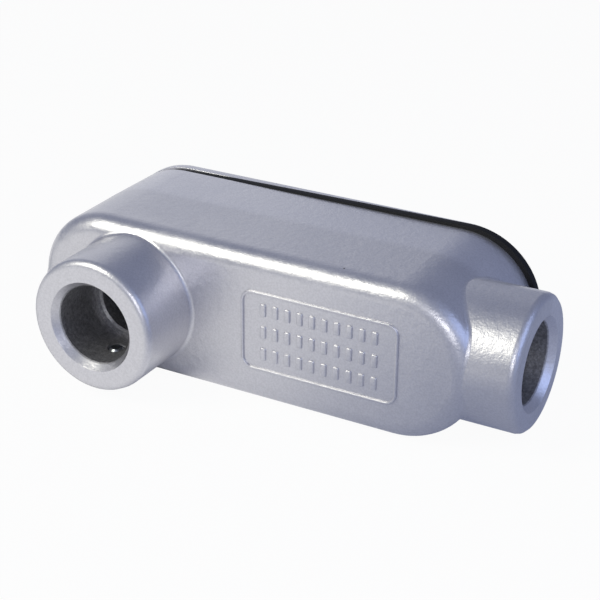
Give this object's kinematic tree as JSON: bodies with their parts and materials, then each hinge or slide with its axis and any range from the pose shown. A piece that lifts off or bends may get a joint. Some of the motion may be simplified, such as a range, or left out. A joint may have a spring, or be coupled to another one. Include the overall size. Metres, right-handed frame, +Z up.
{
  "type": "conduit body",
  "caption": "L-shaped conduit body: long round-ended box with a back hub and an end hub, gasketed screw-on cover and set screws.",
  "frame": {"origin": "centre of the flat strip on the long side that the body lies on", "axes": "+X along the box towards the end hub, +Y towards the cover, +Z up"},
  "size_m": [0.1187, 0.059, 0.0372],
  "materials": {
    "casting": "satin aluminium lacquer on a die casting",
    "cover": "satin aluminium lacquer on a die casting",
    "gasket": "matt black sheet rubber",
    "cover_screws": "bright zinc plate",
    "set_screws": "bright zinc plate"
  },
  "bodies": {
    "casting": {"casting": "casting"},
    "cover": {"cover": "cover", "gasket": "gasket"},
    "cover_screw_left": {"cover_screw_left": "cover_screws"},
    "cover_screw_right": {"cover_screw_right": "cover_screws"},
    "set_screw_back_hub": {"set_screw_back_hub": "set_screws"},
    "set_screw_end_hub": {"set_screw_end_hub": "set_screws"}
  },
  "joints": [
    {"name": "cover_lift", "type": "slide", "parent": "casting", "child": "cover", "axis": [0, 1, 0], "range_m": [0, 0.04]},
    {"name": "cover_screw_left_out", "type": "slide", "parent": "cover", "child": "cover_screw_left", "axis": [0, 1, 0], "range_m": [0, 0.009]},
    {"name": "cover_screw_right_out", "type": "slide", "parent": "cover", "child": "cover_screw_right", "axis": [0, 1, 0], "range_m": [0, 0.009]},
    {"name": "back_set_screw_in", "type": "slide", "parent": "casting", "child": "set_screw_back_hub", "axis": [0, 0, 1], "range_m": [-0.0012, 0.0024]},
    {"name": "end_set_screw_in", "type": "slide", "parent": "casting", "child": "set_screw_end_hub", "axis": [0, 0, 1], "range_m": [-0.0012, 0.0024]}
  ]
}
